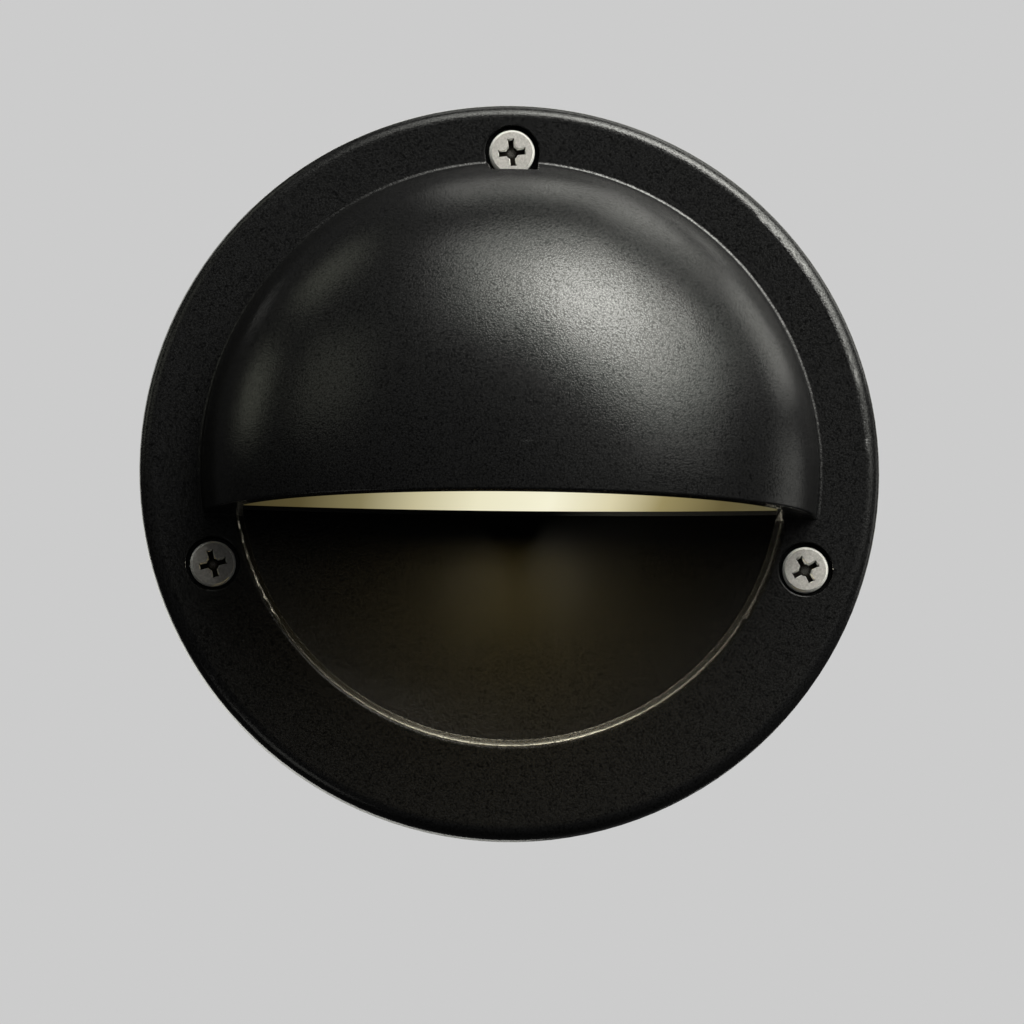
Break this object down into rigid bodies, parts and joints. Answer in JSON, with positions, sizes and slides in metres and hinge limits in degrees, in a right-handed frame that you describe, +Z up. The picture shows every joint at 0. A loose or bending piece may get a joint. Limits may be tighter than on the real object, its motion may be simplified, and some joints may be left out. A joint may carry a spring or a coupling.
{
  "type": "step light",
  "caption": "Round recessed step light: flat ring with a half-dome hood over a dished recess, lit from a frosted lens under the hood, with a screwed cover and a back housing.",
  "frame": {"origin": "on the light's axis, in the wall plane, where the back housing's barrel meets its flange", "axes": "+Z up, the front faces -Y, +Y runs into the wall along the housing's barrel"},
  "size_m": [0.13, 0.117, 0.13],
  "materials": {
    "black_powder_coat": "fine leather-textured black powder coat",
    "housing_coat": "matt black powder coat",
    "frosted_lens": "frosted, lit warm from behind",
    "silicone_seal": "matt silicone",
    "gasket_rubber": "matt",
    "spring_steel": "bright rolled",
    "zinc_screw": "zinc plated",
    "stainless_screw": "stainless, lightly grained",
    "brass_insert": "machined",
    "reflector_aluminium": "bright satin",
    "holder_ceramic": "unglazed",
    "contact_metal": "nickel plated",
    "lamp_plastic": "white",
    "board_laminate": "white solder mask",
    "led_phosphor": "yellow phosphor",
    "lamp_diffuser": "frosted",
    "terminal_plastic": "off-white",
    "lead_black": "silicone insulation",
    "lead_red": "silicone insulation",
    "gland_nylon": "satin nylon"
  },
  "bodies": {
    "housing": {"back_housing": "housing_coat", "threaded_inserts": "brass_insert", "cover_gasket": "gasket_rubber", "holder_bracket": "spring_steel", "bracket_screws": "zinc_screw", "reflector": "reflector_aluminium", "lampholder": "holder_ceramic", "lampholder_contacts": "contact_metal", "lampholder_screws": "zinc_screw", "lampholder_nuts": "zinc_screw", "terminal_block": "terminal_plastic", "terminal_tubes": "brass_insert", "terminal_screws": "zinc_screw", "terminal_fixing_screw": "zinc_screw", "lamp_lead_left": "lead_black", "lamp_lead_right": "lead_red", "gland_washer": "gasket_rubber", "gland_body": "gland_nylon", "gland_locknut": "gland_nylon"},
    "cover": {"face_casting": "black_powder_coat", "lens": "frosted_lens", "lens_gasket": "silicone_seal", "lens_clips": "spring_steel", "lens_clip_screws": "zinc_screw"},
    "lamp": {"lamp_base": "lamp_plastic", "lamp_pins": "contact_metal", "lamp_board": "board_laminate", "lamp_chips": "led_phosphor", "lamp_cover": "lamp_diffuser"},
    "gland_seal": {"gland_seal": "gasket_rubber"},
    "gland_nut": {"gland_nut": "gland_nylon"},
    "washer_top": {"screw_washer_top": "gasket_rubber"},
    "screw_top": {"cover_screw_top": "stainless_screw"},
    "washer_left": {"screw_washer_left": "gasket_rubber"},
    "screw_left": {"cover_screw_left": "stainless_screw"},
    "washer_right": {"screw_washer_right": "gasket_rubber"},
    "screw_right": {"cover_screw_right": "stainless_screw"}
  },
  "joints": [
    {"name": "cover_lift", "type": "slide", "parent": "housing", "child": "cover", "axis": [0, -1, 0], "range_m": [0, 0.06]},
    {"name": "lamp_pull", "type": "slide", "parent": "housing", "child": "lamp", "axis": [0, -1, 0], "range_m": [0, 0.0085]},
    {"name": "gland_seal_slide", "type": "slide", "parent": "housing", "child": "gland_seal", "axis": [0, 1, 0], "range_m": [0, 0.0045]},
    {"name": "gland_nut_turn", "type": "hinge", "parent": "gland_seal", "child": "gland_nut", "pos_m": [0, 0.066, -0.026], "axis": [0, 1, 0], "range_deg": [0, 1082]},
    {"name": "screw_top_lift", "type": "slide", "parent": "cover", "child": "washer_top", "axis": [0, -1, 0], "range_m": [0, 0.0063]},
    {"name": "screw_top_turn", "type": "hinge", "parent": "washer_top", "child": "screw_top", "pos_m": [0, 0, 0.0564], "axis": [0, -1, 0], "range_deg": [0, 3242]},
    {"name": "screw_left_lift", "type": "slide", "parent": "cover", "child": "washer_left", "axis": [0, -1, 0], "range_m": [0, 0.0063]},
    {"name": "screw_left_turn", "type": "hinge", "parent": "washer_left", "child": "screw_left", "pos_m": [-0.05192, 0, -0.01707], "axis": [0, -1, 0], "range_deg": [0, 3242]},
    {"name": "screw_right_lift", "type": "slide", "parent": "cover", "child": "washer_right", "axis": [0, -1, 0], "range_m": [0, 0.0063]},
    {"name": "screw_right_turn", "type": "hinge", "parent": "washer_right", "child": "screw_right", "pos_m": [0.05192, 0, -0.01707], "axis": [0, -1, 0], "range_deg": [0, 3242]}
  ],
  "couplings": [
    {"joint": "gland_nut_turn", "follows": "gland_seal_slide", "rad_per_m": 4188.8},
    {"joint": "screw_top_turn", "follows": "screw_top_lift", "rad_per_m": 8976},
    {"joint": "screw_left_turn", "follows": "screw_left_lift", "rad_per_m": 8976},
    {"joint": "screw_right_turn", "follows": "screw_right_lift", "rad_per_m": 8976}
  ]
}
